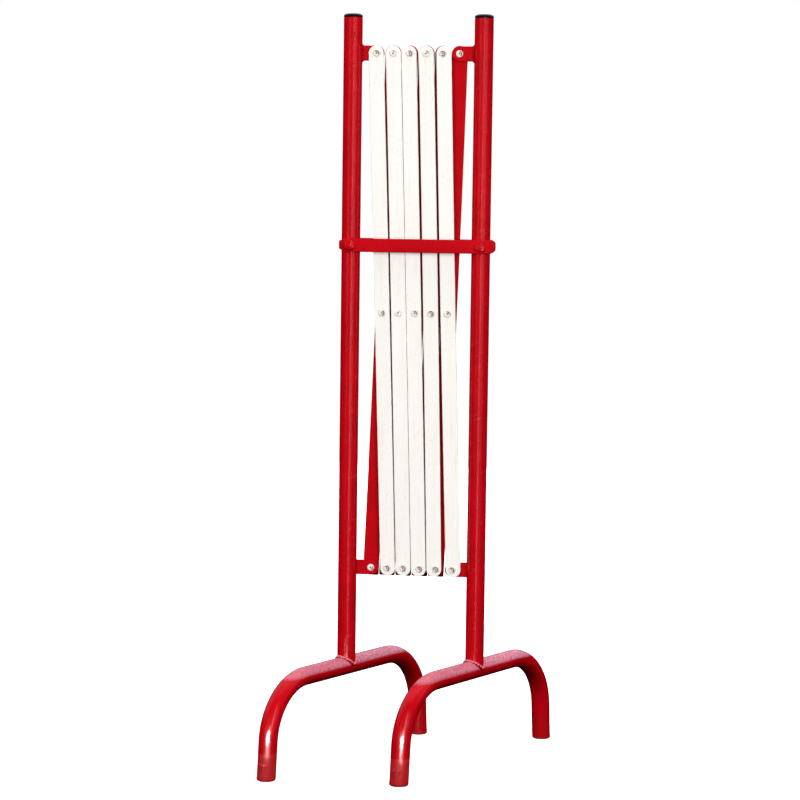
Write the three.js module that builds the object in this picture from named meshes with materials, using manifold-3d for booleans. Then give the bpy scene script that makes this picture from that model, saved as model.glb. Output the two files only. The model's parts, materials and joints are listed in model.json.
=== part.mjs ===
// Expanding scissor barrier, folded: two round posts on bent-tube feet, joined by a trellis of
// five crossed pairs of flat slats. The white slats lie in front and the red slats behind.
// Millimetres, +Z up, -Y is the front, and the origin is on the floor under the middle.

import * as THREE from 'three';
import { mergeVertices } from 'three/addons/utils/BufferGeometryUtils.js';
import Module from 'manifold-3d';

const wasm = await Module();
wasm.setup();

// ---------------------------------------------------------------- driving dimensions
const HEIGHT = 1000; // floor to the top of the caps
const POST_SPACING = 174; // between the two post axes when folded
const TUBE_RADIUS = 12.5;
const TUBE_WALL = 1.5;
const FIT = 0.3; // gap between two pieces that rest on each other

const CROSSINGS = 5; // crossed slat pairs in the trellis
const PITCH = 22; // between neighbouring pivots of a row, folded
const TOP_PIVOT_Z = 948;
const BOTTOM_PIVOT_Z = 260;
const SLIDE_TRAVEL = 200; // rise of the lower pivots when the barrier is fully drawn out

const SLAT_WIDTH = 20;
const SLAT_THICKNESS = 2.5;
const EAR_THICKNESS = 3;
const EAR_HEIGHT = 20;
const RIVET_RADIUS = 2.4;
const RIVET_HOLE_RADIUS = RIVET_RADIUS + FIT;
const RIVET_HEAD_RADIUS = 5;
const RIVET_HEAD_HEIGHT = 1.8;
const RIVET_TAIL_RADIUS = 3.7;
const RIVET_TAIL_HEIGHT = 2.6;
const SPACER_RADIUS = 6.5;
const DOME_TOP = 0.55; // radius of a domed head's flat top, as a share of the head's radius
const DOME_EDGE = 0.25; // height of a domed head's upright edge, as a share of the head's height

const FOOT_AXIS_Z = 125; // centre line of the foot's top run
const FOOT_HALF_LENGTH = 178; // post axis to the middle of a leg end, on the floor
const FOOT_BEND_RADIUS = 80;
const FOOT_BEND_ANGLE = THREE.MathUtils.degToRad(86); // legs splay 4 degrees
const FOOT_SKEW = THREE.MathUtils.degToRad(28); // the back of each foot turns toward +X
const PLUG_RIM_HEIGHT = 4;
const PLUG_SHAFT_LENGTH = 22;

const CAP_HEIGHT = 3.2;
const CAP_SHAFT_LENGTH = 15;
const INSERT_CLEARANCE = 0.4; // round inserts in a tube bore

const CLIP_Z = 694;
const CLIP_HEIGHT = 18;
const CLIP_THICKNESS = 3;
const CLIP_CLEARANCE = 0.5; // clip to post
const CLIP_OVERRUN = 6; // arm ends beyond the far side of the right post
const CLIP_FLARE = 1.6; // the arm ends turn outward by this much
const CLIP_SCREW_HEAD_RADIUS = 4.5;
const CLIP_SCREW_HEAD_HEIGHT = 2.6;
const CLIP_SCREW_RADIUS = 2.2;

const SLOT_WIDTH = 3.8;
const SLIDER_LENGTH = 36;
const SLIDER_CLEARANCE = 0.5;
const SLOT_END_GAP = 2; // slot left over beyond the ear at each end of its travel
const TONGUE_START = 2; // the lower ear's tongue starts this far from the post axis

const ROUND_SIDES = 20; // sides of a tube or a round insert
const SMALL_SIDES = 12; // sides of a rivet or a hole
const FOOT_SIDES = 16;
const FOOT_STEPS = 26; // along a whole foot
const BEND_STEPS = 8; // points that guide each bend

// ---------------------------------------------------------------- derived dimensions
const BORE_RADIUS = TUBE_RADIUS - TUBE_WALL;
const EAR_REACH = (POST_SPACING - CROSSINGS * PITCH) / 2; // post axis to its pivots
const SLAT_RISE = TOP_PIVOT_Z - BOTTOM_PIVOT_Z;
const SLAT_LENGTH = Math.hypot(SLAT_RISE, PITCH);
const SLAT_LEAN = Math.atan2(PITCH, SLAT_RISE);
const SLAT_OFFSET = EAR_THICKNESS / 2 + FIT + SLAT_THICKNESS / 2; // slat middle from the ear plane
const SLAT_FACE = SLAT_OFFSET + SLAT_THICKNESS / 2;

// ---------------------------------------------------------------- materials
const finish = (color, roughness, metalness) =>
  new THREE.MeshStandardMaterial({ color, roughness, metalness });
const redPaint = finish(0xc4081a, 0.32, 0.0);
const whitePaint = finish(0xf4efe6, 0.45, 0.0);
const zinc = finish(0xd9d6cf, 0.4, 0.9);
const blackPlastic = finish(0x111111, 0.5, 0.0);
const redPlastic = finish(0xa8141f, 0.55, 0.0);
const nylon = finish(0xe8e4da, 0.6, 0.0);

// ---------------------------------------------------------------- solid helpers
function toSolid(geometry) {
  const bare = geometry.clone();
  bare.deleteAttribute('normal');
  bare.deleteAttribute('uv');
  const merged = mergeVertices(bare, 1e-4);
  return new wasm.Manifold(new wasm.Mesh({
    numProp: 3,
    vertProperties: new Float32Array(merged.attributes.position.array),
    triVerts: new Uint32Array(merged.index.array),
  }));
}

function toGeometry(solid) {
  const mesh = solid.getMesh();
  const geometry = new THREE.BufferGeometry();
  geometry.setAttribute('position', new THREE.BufferAttribute(mesh.vertProperties, 3));
  geometry.setIndex(new THREE.BufferAttribute(mesh.triVerts, 1));
  return geometry;
}

function cut(geometry, ...tools) {
  return toGeometry(tools.reduce((solid, tool) => solid.subtract(toSolid(tool)), toSolid(geometry)));
}

function join(...pieces) {
  return toGeometry(pieces.map(toSolid).reduce((whole, piece) => whole.add(piece)));
}

function keep(geometry, region) {
  return toGeometry(toSolid(geometry).intersect(toSolid(region)));
}

function box(xMin, xMax, yMin, yMax, zMin, zMax) {
  const geometry = new THREE.BoxGeometry(xMax - xMin, yMax - yMin, zMax - zMin);
  return geometry.translate((xMin + xMax) / 2, (yMin + yMax) / 2, (zMin + zMax) / 2);
}

// A body turned about the Y axis from [radius, y] points, listed from -Y to +Y.
function turnedAlongY(profile, sides) {
  return new THREE.LatheGeometry(profile.map(([r, y]) => new THREE.Vector2(r, y)), sides);
}

// The same, standing up: [radius, z] points, listed from the bottom to the top.
function turnedUpright(profile, sides) {
  return turnedAlongY(profile, sides).rotateX(Math.PI / 2);
}

function cylinderAlongY(radius, yMin, yMax, sides) {
  return turnedAlongY([[0, yMin], [radius, yMin], [radius, yMax], [0, yMax]], sides);
}

// Half of a domed head's outline, from the middle of its top to the edge of its seat.
function domedHead(radius, seat, height) {
  return [
    [0, seat + height], [DOME_TOP * radius, seat + height],
    [radius, seat + DOME_EDGE * height], [radius, seat],
  ];
}

// A flat plate in the XZ plane, centred on y = 0.
function plate(shape, thickness) {
  const options = { depth: thickness, bevelEnabled: false, curveSegments: SMALL_SIDES / 2 };
  return new THREE.ExtrudeGeometry(shape, options).translate(0, 0, -thickness / 2).rotateX(Math.PI / 2);
}

function roundHole(shape, x, z, radius) {
  const hole = new THREE.Path();
  hole.absarc(x, z, radius, 0, 2 * Math.PI, true);
  shape.holes.push(hole);
}

// ---------------------------------------------------------------- the pieces
// Post, drawn for the left side: the slot faces +X, and the foot is at its lower end.
function postGeometry() {
  const top = HEIGHT - CAP_HEIGHT - FIT;
  const tube = turnedUpright([
    [BORE_RADIUS, FOOT_AXIS_Z], [TUBE_RADIUS, FOOT_AXIS_Z],
    [TUBE_RADIUS, top], [BORE_RADIUS, top], [BORE_RADIUS, FOOT_AXIS_Z],
  ], ROUND_SIDES);
  const footTube = cylinderAlongY(TUBE_RADIUS + FIT, -2 * TUBE_RADIUS, 2 * TUBE_RADIUS, 2 * ROUND_SIDES);
  footTube.rotateZ(-FOOT_SKEW).translate(0, 0, FOOT_AXIS_Z);
  const slotMargin = EAR_HEIGHT / 2 + SLOT_END_GAP;
  const slot = box(
    TUBE_RADIUS / 2, 2 * TUBE_RADIUS, -SLOT_WIDTH / 2, SLOT_WIDTH / 2,
    BOTTOM_PIVOT_Z - slotMargin, BOTTOM_PIVOT_Z + SLIDE_TRAVEL + slotMargin,
  );
  return cut(tube, footTube, slot);
}

// Centre line of a foot in its own plane: up one leg, along the top and down the other leg.
function footPath() {
  const legEndZ = -PLUG_SHAFT_LENGTH;
  const arcEndZ = FOOT_AXIS_Z - FOOT_BEND_RADIUS * (1 - Math.cos(FOOT_BEND_ANGLE));
  const arcReach = FOOT_BEND_RADIUS * Math.sin(FOOT_BEND_ANGLE);
  const floorReach = arcEndZ / Math.tan(FOOT_BEND_ANGLE);
  const arcStart = FOOT_HALF_LENGTH - floorReach - arcReach;
  const legEnd = FOOT_HALF_LENGTH - legEndZ / Math.tan(FOOT_BEND_ANGLE);
  const point = (y, z) => new THREE.Vector3(0, y, z);
  const bend = (side) => new THREE.CatmullRomCurve3(
    Array.from({ length: BEND_STEPS + 1 }, (_, i) => {
      const share = side < 0 ? 1 - i / BEND_STEPS : i / BEND_STEPS;
      const angle = FOOT_BEND_ANGLE * share;
      const along = arcStart + FOOT_BEND_RADIUS * Math.sin(angle);
      return point(side * along, FOOT_AXIS_Z - FOOT_BEND_RADIUS * (1 - Math.cos(angle)));
    }),
  );
  const path = new THREE.CurvePath();
  path.add(new THREE.LineCurve3(point(-legEnd, legEndZ), point(-arcStart - arcReach, arcEndZ)));
  path.add(bend(-1));
  path.add(new THREE.LineCurve3(point(-arcStart, FOOT_AXIS_Z), point(arcStart, FOOT_AXIS_Z)));
  path.add(bend(1));
  path.add(new THREE.LineCurve3(point(arcStart + arcReach, arcEndZ), point(legEnd, legEndZ)));
  return path;
}

function footSweep(radius) {
  const section = new THREE.Shape();
  section.absarc(0, 0, radius, 0, 2 * Math.PI);
  const options = { steps: FOOT_STEPS, curveSegments: FOOT_SIDES / 2, extrudePath: footPath() };
  return new THREE.ExtrudeGeometry(section, options);
}

function footGeometry() {
  const reach = 2 * FOOT_HALF_LENGTH;
  const belowLegs = box(-reach, reach, -reach, reach, -reach, PLUG_RIM_HEIGHT + FIT);
  return cut(footSweep(TUBE_RADIUS), footSweep(BORE_RADIUS), belowLegs).rotateZ(-FOOT_SKEW);
}

// Insert that closes a leg: a rim as wide as the tube, flat on the floor, and a shaft in its bore.
function plugGeometry(side) {
  const rim = turnedUpright([
    [0, -PLUG_RIM_HEIGHT], [TUBE_RADIUS, -PLUG_RIM_HEIGHT],
    [TUBE_RADIUS, 2 * PLUG_RIM_HEIGHT], [0, 2 * PLUG_RIM_HEIGHT],
  ], ROUND_SIDES);
  const shaftRadius = BORE_RADIUS - INSERT_CLEARANCE;
  const shaft = turnedUpright([
    [0, 0], [shaftRadius, 0],
    [shaftRadius, PLUG_RIM_HEIGHT + PLUG_SHAFT_LENGTH], [0, PLUG_RIM_HEIGHT + PLUG_SHAFT_LENGTH],
  ], ROUND_SIDES);
  const lean = side * (Math.PI / 2 - FOOT_BEND_ANGLE);
  const wide = 2 * TUBE_RADIUS;
  const rimLayer = box(-wide, wide, -wide, wide, 0, PLUG_RIM_HEIGHT);
  const aboveFloor = box(-wide, wide, -wide, wide, PLUG_RIM_HEIGHT / 2, 2 * PLUG_SHAFT_LENGTH);
  const trimmedRim = keep(rim.rotateX(lean), rimLayer);
  const trimmedShaft = keep(shaft.rotateX(lean), aboveFloor);
  return join(trimmedRim, trimmedShaft).translate(0, side * FOOT_HALF_LENGTH, 0).rotateZ(-FOOT_SKEW);
}

// Domed cap with a shaft in the post's bore.
function capGeometry() {
  const shaftRadius = BORE_RADIUS - INSERT_CLEARANCE;
  const rimZ = HEIGHT - CAP_HEIGHT;
  return turnedUpright([
    [0, rimZ - CAP_SHAFT_LENGTH], [shaftRadius, rimZ - CAP_SHAFT_LENGTH],
    [shaftRadius, rimZ], ...domedHead(TUBE_RADIUS, rimZ, CAP_HEIGHT).reverse(),
  ], ROUND_SIDES);
}

// Ear, drawn for the left side: from xStart beside or inside the post out to its rounded pivot end.
function earGeometry(xStart) {
  const half = EAR_HEIGHT / 2;
  const shape = new THREE.Shape();
  shape.moveTo(xStart, -half);
  shape.lineTo(EAR_REACH, -half);
  shape.absarc(EAR_REACH, 0, half, -Math.PI / 2, Math.PI / 2, false);
  shape.lineTo(xStart, half);
  shape.closePath();
  roundHole(shape, EAR_REACH, 0, RIVET_HOLE_RADIUS);
  return plate(shape, EAR_THICKNESS);
}

// Slider that runs in the post's bore, slit on the +X side for the ear's tongue.
function sliderGeometry() {
  const radius = BORE_RADIUS - SLIDER_CLEARANCE;
  const half = SLIDER_LENGTH / 2;
  const block = turnedUpright([[0, -half], [radius, -half], [radius, half], [0, half]], ROUND_SIDES);
  const slitHalf = EAR_THICKNESS / 2 + FIT;
  const slitX = TONGUE_START - FIT;
  return cut(block, box(slitX, 2 * radius, -slitHalf, slitHalf, -2 * half, 2 * half));
}

// Slat hanging from its upper pivot, with a rivet hole at each end and in the middle. Its upper end
// is round, and its lower end is round or square.
function slatGeometry(squareBelow) {
  const half = SLAT_WIDTH / 2;
  const shape = new THREE.Shape();
  shape.moveTo(half, 0);
  shape.absarc(0, 0, half, 0, Math.PI, false);
  if (squareBelow) {
    shape.lineTo(-half, -SLAT_LENGTH - half);
    shape.lineTo(half, -SLAT_LENGTH - half);
  } else {
    shape.lineTo(-half, -SLAT_LENGTH);
    shape.absarc(0, -SLAT_LENGTH, half, Math.PI, 2 * Math.PI, false);
  }
  shape.closePath();
  for (const z of [0, -SLAT_LENGTH / 2, -SLAT_LENGTH]) {
    roundHole(shape, 0, z, RIVET_HOLE_RADIUS);
  }
  return plate(shape, SLAT_THICKNESS);
}

// Blind rivet through plates that lie between yFront and yBack, with its domed head in front.
function rivetGeometry(yFront, yBack) {
  const head = yFront - FIT;
  const tail = yBack + FIT;
  return turnedAlongY([
    ...domedHead(RIVET_HEAD_RADIUS, head, -RIVET_HEAD_HEIGHT), [RIVET_RADIUS, head],
    [RIVET_RADIUS, tail], ...domedHead(RIVET_TAIL_RADIUS, tail, RIVET_TAIL_HEIGHT).reverse(),
  ], SMALL_SIDES);
}

// Washer that keeps a front and a back slat one ear thickness apart.
function spacerGeometry() {
  const half = EAR_THICKNESS / 2;
  return turnedAlongY([
    [RIVET_HOLE_RADIUS, -half], [SPACER_RADIUS, -half],
    [SPACER_RADIUS, half], [RIVET_HOLE_RADIUS, half], [RIVET_HOLE_RADIUS, -half],
  ], SMALL_SIDES);
}

// Retaining clip, seen from above: a band that is closed round the left post, with two arms that
// pass in front of and behind the right post. Its far end is open, so the right post can leave.
function clipGeometry() {
  const left = -POST_SPACING / 2;
  const inner = TUBE_RADIUS + CLIP_CLEARANCE;
  const outer = inner + CLIP_THICKNESS;
  const flareStart = POST_SPACING / 2 + TUBE_RADIUS;
  const tip = flareStart + CLIP_OVERRUN;
  const shape = new THREE.Shape();
  shape.moveTo(tip, outer + CLIP_FLARE);
  shape.lineTo(flareStart, outer);
  shape.lineTo(left, outer);
  shape.absarc(left, 0, outer, Math.PI / 2, (3 * Math.PI) / 2, false);
  shape.lineTo(flareStart, -outer);
  shape.lineTo(tip, -outer - CLIP_FLARE);
  shape.lineTo(tip, -inner - CLIP_FLARE);
  shape.lineTo(flareStart, -inner);
  shape.lineTo(left, -inner);
  shape.absarc(left, 0, inner, (3 * Math.PI) / 2, Math.PI / 2, true);
  shape.lineTo(flareStart, inner);
  shape.lineTo(tip, inner + CLIP_FLARE);
  shape.closePath();
  const options = { depth: CLIP_HEIGHT, bevelEnabled: false, curveSegments: SMALL_SIDES };
  const band = new THREE.ExtrudeGeometry(shape, options).translate(0, 0, -CLIP_HEIGHT / 2);
  const holes = [-1, 1].map((side) => cylinderAlongY(
    CLIP_SCREW_RADIUS + FIT, -2 * outer, 0, SMALL_SIDES,
  ).translate((side * POST_SPACING) / 2, 0, 0));
  return cut(band, ...holes);
}

// Domed screw in the clip's front arm; its tip ends just short of the post.
function clipScrewGeometry() {
  const face = -(TUBE_RADIUS + CLIP_CLEARANCE + CLIP_THICKNESS + FIT);
  const tip = -TUBE_RADIUS - FIT;
  return turnedAlongY([
    ...domedHead(CLIP_SCREW_HEAD_RADIUS, face, -CLIP_SCREW_HEAD_HEIGHT),
    [CLIP_SCREW_RADIUS, face], [CLIP_SCREW_RADIUS, tip], [0, tip],
  ], SMALL_SIDES);
}

// ---------------------------------------------------------------- the assembly
const barrier = new THREE.Group();

function add(parent, name, geometry, material, x = 0, y = 0, z = 0) {
  const mesh = new THREE.Mesh(geometry, material);
  mesh.name = name;
  mesh.position.set(x, y, z);
  parent.add(mesh);
  return mesh;
}

const pivotX = (index) => (index - CROSSINGS / 2) * PITCH;

// Everything on one post: the feet point the same way on both sides, and the ears and slots face
// each other, so those are turned half round on the right.
function addPost(name, side) {
  const post = new THREE.Group();
  post.position.x = (side * POST_SPACING) / 2;
  barrier.add(post);
  const facing = side < 0 ? 0 : Math.PI;
  const turned = new THREE.Group();
  turned.rotation.z = facing;
  post.add(turned);

  add(turned, `${name}_post`, postGeometry(), redPaint);
  add(turned, `${name}_upper_ear`, earGeometry(TUBE_RADIUS + FIT), redPaint, 0, 0, TOP_PIVOT_Z);
  add(turned, `${name}_lower_ear`, earGeometry(TONGUE_START), redPaint, 0, 0, BOTTOM_PIVOT_Z);
  add(turned, `${name}_slider`, sliderGeometry(), nylon, 0, 0, BOTTOM_PIVOT_Z);
  add(post, `${name}_cap`, capGeometry(), blackPlastic);
  add(post, `${name}_foot`, footGeometry(), redPaint);
  add(post, `${name}_front_plug`, plugGeometry(-1), redPlastic);
  add(post, `${name}_back_plug`, plugGeometry(1), redPlastic);
}

addPost('left', -1);
addPost('right', 1);

// A front slat runs from upper pivot i to lower pivot i + 1, and a back slat the other way.
for (let i = 0; i < CROSSINGS; i += 1) {
  const front = add(barrier, `front_slat_${i + 1}`, slatGeometry(false), whitePaint,
    pivotX(i), -SLAT_OFFSET, TOP_PIVOT_Z);
  front.rotation.y = -SLAT_LEAN;
  const back = add(barrier, `back_slat_${i + 1}`, slatGeometry(true), redPaint,
    pivotX(i + 1), SLAT_OFFSET, TOP_PIVOT_Z);
  back.rotation.y = SLAT_LEAN;

  const middle = [pivotX(i + 0.5), 0, (TOP_PIVOT_Z + BOTTOM_PIVOT_Z) / 2];
  add(barrier, `middle_rivet_${i + 1}`, rivetGeometry(-SLAT_FACE, SLAT_FACE), zinc, ...middle);
  add(barrier, `middle_spacer_${i + 1}`, spacerGeometry(), zinc, ...middle);
}

// The inner pivots of the upper and lower rows join two slats over a spacer. The outer pivots join
// one slat to an ear: the ear is behind the front slat, and in front of the back slat.
const earFace = EAR_THICKNESS / 2;
for (const [row, z, firstFront] of [['upper', TOP_PIVOT_Z, true], ['lower', BOTTOM_PIVOT_Z, false]]) {
  for (let i = 0; i <= CROSSINGS; i += 1) {
    const outer = i === 0 || i === CROSSINGS;
    const holdsFront = !outer || (i === 0) === firstFront;
    const holdsBack = !outer || !holdsFront;
    const rivet = rivetGeometry(holdsFront ? -SLAT_FACE : -earFace, holdsBack ? SLAT_FACE : earFace);
    add(barrier, `${row}_rivet_${i + 1}`, rivet, zinc, pivotX(i), 0, z);
    if (!outer) {
      add(barrier, `${row}_spacer_${i + 1}`, spacerGeometry(), zinc, pivotX(i), 0, z);
    }
  }
}

add(barrier, 'clip', clipGeometry(), redPaint, 0, 0, CLIP_Z);
for (const [name, side] of [['left', -1], ['right', 1]]) {
  add(barrier, `clip_screw_${name}`, clipScrewGeometry(), redPaint, (side * POST_SPACING) / 2, 0, CLIP_Z);
}

export default barrier;
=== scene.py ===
"""Looks of the folded scissor barrier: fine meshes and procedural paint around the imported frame.

Everything is in metres, in the frame's own axes: +Z up, -Y the front, +X from left post to right.
"""

import json
import math

import bmesh
import bpy
from mathutils import Matrix, Vector
from mathutils.geometry import tessellate_polygon


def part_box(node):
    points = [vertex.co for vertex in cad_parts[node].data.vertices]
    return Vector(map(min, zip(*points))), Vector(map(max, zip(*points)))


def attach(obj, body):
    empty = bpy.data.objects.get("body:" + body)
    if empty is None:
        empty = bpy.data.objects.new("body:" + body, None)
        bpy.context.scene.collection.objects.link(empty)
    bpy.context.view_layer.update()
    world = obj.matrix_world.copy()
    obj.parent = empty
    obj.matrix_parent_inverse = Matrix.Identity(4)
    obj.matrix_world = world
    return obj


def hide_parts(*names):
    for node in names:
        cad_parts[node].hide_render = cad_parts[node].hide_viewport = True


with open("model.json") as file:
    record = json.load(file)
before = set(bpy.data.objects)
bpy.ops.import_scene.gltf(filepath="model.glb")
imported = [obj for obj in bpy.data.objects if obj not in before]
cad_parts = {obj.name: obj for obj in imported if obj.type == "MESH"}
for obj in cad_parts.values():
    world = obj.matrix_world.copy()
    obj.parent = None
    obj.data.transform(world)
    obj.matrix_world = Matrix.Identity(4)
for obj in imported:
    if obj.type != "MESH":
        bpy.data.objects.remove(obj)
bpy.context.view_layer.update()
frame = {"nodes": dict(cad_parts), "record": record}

MM = 0.001
TAU = 2 * math.pi
SIDES = (("left", -1), ("right", 1))
# Edges that turn by more than this many degrees stay sharp.
SMOOTH_ANGLE = 40

# ---------------------------------------------------------------- sizes the frame gives


def box_centre(node):
    low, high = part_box(node)
    return (low + high) / 2


def box_size(node):
    low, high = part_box(node)
    return high - low


def body_of_node(node):
    bodies = frame["record"]["behaviour"]["bodies"]
    return next(name for name, members in bodies.items() if node in members)


POST_X = {side: box_centre(f"{side}_cap").x for side, _ in SIDES}
TUBE_RADIUS = box_size("left_cap").x / 2
CROSSINGS = sum(name.startswith("front_slat_") for name in frame["nodes"])

# ---------------------------------------------------------------- sizes shared with the CAD part
TUBE_WALL = 1.5 * MM
FOOT_AXIS_Z = 125 * MM
FOOT_HALF_LENGTH = 178 * MM
FOOT_BEND_RADIUS = 80 * MM
FOOT_BEND_ANGLE = math.radians(86)
FOOT_SKEW = math.radians(28)
PLUG_RIM_HEIGHT = 4 * MM
EAR_HEIGHT = 20 * MM
SLAT_WIDTH = 20 * MM
SLOT_WIDTH = 3.8 * MM
FIT = 0.3 * MM
RIVET_RADIUS = 2.4 * MM
RIVET_TAIL_RADIUS = 3.7 * MM
RIVET_HEAD_HEIGHT = 1.8 * MM
RIVET_TAIL_HEIGHT = 2.6 * MM
HOLE_RADIUS = RIVET_RADIUS + FIT
SLIDE_TRAVEL = 200 * MM
CLIP_OVERRUN = 6 * MM
CLIP_FLARE = 1.6 * MM
CLIP_THICKNESS = 3 * MM
CLIP_CLEARANCE = 0.5 * MM

# ---------------------------------------------------------------- sizes of the finish only
BACK_SLAT_WIDTH = 21.4 * MM
BACK_CORNER_RADIUS = 2.2 * MM
RIVET_HEAD_RADIUS = 4.7 * MM
# Share of the clip's width that is lost at its eye's far side and at its tips.
EYE_NARROWING = 0.42
TIP_NARROWING = 0.45
CLIP_BOSS_RADIUS = 7.5 * MM
CLIP_BOSS_HEIGHT = 2.2 * MM
CAP_SKIRT = 1.8 * MM
FOOT_ROUGHNESS = 0.17
# Leg ends are dull up to this height, and the dullness fades out over the next stretch.
LEG_DULL_HEIGHT = 30 * MM
LEG_DULL_FADE = 8 * MM
# Dust and painted reflection fade in over the first of these heights above the foot's axis, and end
# past its top.
DUST_AND_SHEEN_FADE = 4 * MM
DUST_AND_SHEEN_END = 2 * MM
# Painted shade darkens the lower ends of the back slats, and fades out over this height.
LOWER_SHADE_HEIGHT = 2 * MM
LOWER_SHADE_FADE = 10 * MM
BACKDROP_RADIANCE = 0.7
# How far each slat is bent sideways at its upper, middle and lower rivet, or at its middle alone.
BACK_BOWS = (1.6 * MM, 1.2 * MM, 1.4 * MM, 1.8 * MM, 1.4 * MM)
FRONT_BOWS = (
    (-0.6 * MM, 0.6 * MM, 1.2 * MM),
    (0.3 * MM, 0.6 * MM, 0.1 * MM),
    (-1.0 * MM, -1.05 * MM, -1.3 * MM),
    (0.0 * MM, -0.4 * MM, -2.4 * MM),
    (1.5 * MM, 0.8 * MM, 1.7 * MM),
)

BORE_RADIUS = TUBE_RADIUS - TUBE_WALL
FOOT_DIRECTION = Vector((math.sin(FOOT_SKEW), math.cos(FOOT_SKEW), 0))
FOOT_ACROSS = Vector((math.cos(FOOT_SKEW), -math.sin(FOOT_SKEW), 0))


# ---------------------------------------------------------------- mesh building
def finish_mesh(name, verts, faces, smooth_angle=SMOOTH_ANGLE):
    """A closed mesh with its faces turned outward, smooth except at edges above smooth_angle."""
    mesh = bpy.data.meshes.new(name)
    mesh.from_pydata([tuple(v) for v in verts], [], faces)
    work = bmesh.new()
    work.from_mesh(mesh)
    bmesh.ops.recalc_face_normals(work, faces=work.faces)
    work.to_mesh(mesh)
    work.free()
    for polygon in mesh.polygons:
        polygon.use_smooth = True
    mesh.set_sharp_from_angle(angle=math.radians(smooth_angle))
    return mesh


def place(name, mesh, material, body, replaced=()):
    """Puts a finished mesh in the scene as a piece that rides on a body."""
    piece = bpy.data.objects.new(name, mesh)
    bpy.context.scene.collection.objects.link(piece)
    mesh.materials.append(material)
    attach(piece, body)
    if replaced:
        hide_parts(*replaced)
    return piece


def stand_in(node, mesh, material):
    """A fine piece that stands for one CAD node."""
    return place(f"{node}.fine", mesh, material, body_of_node(node), (node,))


def skin(rings, closed=False):
    """Vertices and faces over a row of equal rings. A closed row joins its last ring to its first, and
    an open one is capped at both ends."""
    count = len(rings[0])
    verts = [point for ring in rings for point in ring]
    faces = []
    pairs = len(rings) if closed else len(rings) - 1
    for row in range(pairs):
        here = row * count
        there = ((row + 1) % len(rings)) * count
        for i in range(count):
            j = (i + 1) % count
            faces.append((here + i, here + j, there + j, there + i))
    if not closed:
        faces.append(tuple(range(count)))
        last = (len(rings) - 1) * count
        faces.append(tuple(last + i for i in range(count)))
    return verts, faces


def turned(profile, centre, axis="Z", sides=40):
    """A body turned about an axis through centre. The profile is a list of (radius, along) pairs that
    starts and ends on the axis, or closes on itself."""
    verts = []
    rings = []
    closes = profile[0] == profile[-1] and profile[0][0] > 0
    points = profile[:-1] if closes else profile
    for radius, along in points:
        if radius <= 0:
            offsets = [Vector((0, 0, along))]
        else:
            angles = [TAU * i / sides for i in range(sides)]
            offsets = [Vector((radius * math.cos(a), radius * math.sin(a), along)) for a in angles]
        if axis == "Y":
            offsets = [Vector((o.x, o.z, o.y)) for o in offsets]
        rings.append([len(verts) + i for i in range(len(offsets))])
        verts.extend(Vector(centre) + o for o in offsets)
    faces = []
    pairs = list(zip(rings, rings[1:]))
    if closes:
        pairs.append((rings[-1], rings[0]))
    for low, high in pairs:
        for i in range(sides):
            j = (i + 1) % sides
            corners = [low[i % len(low)], low[j % len(low)], high[j % len(high)], high[i % len(high)]]
            unique = list(dict.fromkeys(corners))
            if len(unique) > 2:
                faces.append(tuple(unique))
    return verts, faces


def arc(cx, cy, radius, start, end, steps):
    """Points along an arc, in degrees, both ends included."""
    points = []
    for i in range(steps + 1):
        a = math.radians(start + (end - start) * i / steps)
        points.append((cx + radius * math.cos(a), cy + radius * math.sin(a)))
    return points


def inset(loop, distance):
    """A closed outline moved to its left by a distance, which is into the material."""
    moved = []
    for i, (x, y) in enumerate(loop):
        px, py = loop[i - 1]
        nx, ny = loop[(i + 1) % len(loop)]
        before = Vector((x - px, y - py)).normalized()
        after = Vector((nx - x, ny - y)).normalized()
        left = Vector((-before.y - after.y, before.x + after.x))
        left.normalize()
        stretch = max(0.5, left.dot(Vector((-before.y, before.x))))
        moved.append((x + left.x * distance / stretch, y + left.y * distance / stretch))
    return moved


def plate(loops, thickness, edge, to_world):
    """A flat plate with rounded edges. The first loop is the outline, anticlockwise, and the others
    are holes, clockwise. to_world turns (along, up, out of plane) into a point of the frame."""
    half = thickness / 2
    steps = 3
    levels = [(edge + 0.4 * MM, half)]
    for i in range(steps + 1):
        a = math.pi / 2 * (1 - i / steps)
        levels.append((edge * (1 - math.cos(a)), half - edge * (1 - math.sin(a))))
    levels += [(depth, -out) for depth, out in reversed(levels)]
    verts = []
    flat = []
    faces = []
    tops = []
    bottoms = []
    for loop in loops:
        start = len(verts)
        count = len(loop)
        for depth, out in levels:
            for x, y in inset(loop, depth):
                flat.append((x, y))
                verts.append(to_world(x, y, out))
        for row in range(len(levels) - 1):
            for i in range(count):
                j = (i + 1) % count
                low = start + row * count
                faces.append((low + i, low + j, low + count + j, low + count + i))
        tops.append([start + i for i in range(count)])
        last = start + (len(levels) - 1) * count
        bottoms.append([last + i for i in range(count)])
    for ends in (tops, bottoms):
        indices = [i for end in ends for i in end]
        outlines = [[Vector((*flat[i], 0)) for i in end] for end in ends]
        faces.extend(tuple(indices[k] for k in triangle) for triangle in tessellate_polygon(outlines))
    return verts, faces, flat


def add_flat_map(mesh, flat):
    """Keeps each vertex's own plate coordinates, in metres, as a UV map."""
    layer = mesh.uv_layers.new(name="flat")
    for loop in mesh.loops:
        layer.data[loop.index].uv = flat[loop.vertex_index]


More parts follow.
